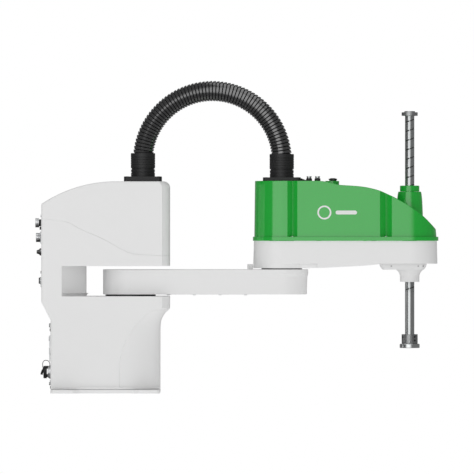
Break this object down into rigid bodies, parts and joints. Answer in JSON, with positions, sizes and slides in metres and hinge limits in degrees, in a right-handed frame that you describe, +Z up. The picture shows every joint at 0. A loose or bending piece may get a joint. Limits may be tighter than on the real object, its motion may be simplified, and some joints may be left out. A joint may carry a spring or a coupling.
{
  "type": "scara robot arm",
  "caption": "Table-top SCARA robot: two arms turning about vertical axes and a ball-screw spline quill that lifts and rotates the tool flange.",
  "frame": {"origin": "on the first joint's vertical axis, at the mounting plane under the foot plate", "axes": "+X along the straightened arm, towards the quill; +Z up"},
  "size_m": [0.8657, 0.224, 0.6703],
  "materials": {
    "white_paint": "white powder coat on cast aluminium",
    "green_cover": "satin gloss",
    "black_plastic": "fine texture",
    "hose_black": "corrugated satin",
    "dark_metal": "black anodised",
    "steel": "ground",
    "aluminium": "machined",
    "rubber": "matt"
  },
  "bodies": {
    "base": {"foot_plate": "white_paint", "lower_body": "white_paint", "neck": "white_paint", "head_frame": "white_paint", "head_cover": "white_paint", "connector_panel": "white_paint", "service_panel": "white_paint", "io_plate": "aluminium", "encoder_connector": "steel", "motor_connector": "steel", "air_port": "dark_metal", "signal_connector": "black_plastic", "power_receptacle": "steel", "receptacle_cap": "black_plastic", "j1_motor": "dark_metal", "j1_reducer": "steel", "base_hose_flange": "black_plastic", "base_hose_collar": "black_plastic"},
    "upper_arm_body": {"upper_arm": "white_paint", "arm_bottom_cover": "white_paint", "j2_stop_block": "white_paint", "j1_output_flange": "dark_metal", "j2_reducer": "dark_metal", "cable_hose": "hose_black"},
    "forearm_body": {"forearm_casing": "white_paint", "forearm_cover": "green_cover", "shaft_tower": "green_cover", "tower_cap": "green_cover", "spindle_bracket": "white_paint", "shaft_seal": "rubber", "j2_motor": "dark_metal", "motor_plate": "aluminium", "z_motor": "dark_metal", "r_motor": "dark_metal", "z_belt": "rubber", "r_belt": "rubber", "arm_hose_flange": "black_plastic", "arm_hose_collar": "black_plastic", "air_fitting_1": "steel", "air_fitting_2": "steel", "button_bezel": "black_plastic"},
    "brake_button_body": {"brake_button": "black_plastic"},
    "z_motor_pulley_body": {"z_motor_pulley": "aluminium"},
    "r_motor_pulley_body": {"r_motor_pulley": "aluminium"},
    "spline_nut_body": {"spline_nut": "steel", "r_pulley": "aluminium"},
    "ball_nut_body": {"ball_nut": "steel", "z_pulley": "aluminium"},
    "quill": {"spindle_shaft": "steel", "top_stop_ring": "steel", "lower_stop_collar": "steel", "tool_flange": "steel"}
  },
  "joints": [
    {"name": "j1", "type": "hinge", "parent": "base", "child": "upper_arm_body", "pos_m": [0, 0, 0.238], "axis": [0, 0, 1], "range_deg": [-127, 127], "deforming": ["cable_hose"]},
    {"name": "j2", "type": "hinge", "parent": "upper_arm_body", "child": "forearm_body", "pos_m": [0.325, 0, 0.3], "axis": [0, 0, 1], "range_deg": [-120, 120]},
    {"name": "tool_rotation", "type": "hinge", "parent": "forearm_body", "child": "spline_nut_body", "pos_m": [0.6, 0, 0.3], "axis": [0, 0, 1], "range_deg": [-360, 360]},
    {"name": "z_slide", "type": "slide", "parent": "spline_nut_body", "child": "quill", "axis": [0, 0, 1], "range_m": [-0.11, 0.09]},
    {"name": "ball_nut_spin", "type": "hinge", "parent": "spline_nut_body", "child": "ball_nut_body", "pos_m": [0.6, 0, 0.34], "axis": [0, 0, 1], "range_deg": [-1621, 1981]},
    {"name": "z_motor_spin", "type": "hinge", "parent": "forearm_body", "child": "z_motor_pulley_body", "pos_m": [0.43, 0, 0.34], "axis": [0, 0, 1], "range_deg": [-3242, 3962]},
    {"name": "r_motor_spin", "type": "hinge", "parent": "forearm_body", "child": "r_motor_pulley_body", "pos_m": [0.505, 0, 0.3], "axis": [0, 0, 1], "range_deg": [-901, 901]},
    {"name": "brake_button_press", "type": "slide", "parent": "forearm_body", "child": "brake_button_body", "axis": [0, 0, -1], "range_m": [0, 0.0025], "stiffness_N_per_m": 400, "springref_m": -0.001}
  ],
  "couplings": [
    {"joint": "ball_nut_spin", "follows": "z_slide", "rad_per_m": -314.16},
    {"joint": "z_motor_spin", "follows": "z_slide", "rad_per_m": -628.32},
    {"joint": "r_motor_spin", "follows": "tool_rotation", "ratio": 2.5}
  ]
}
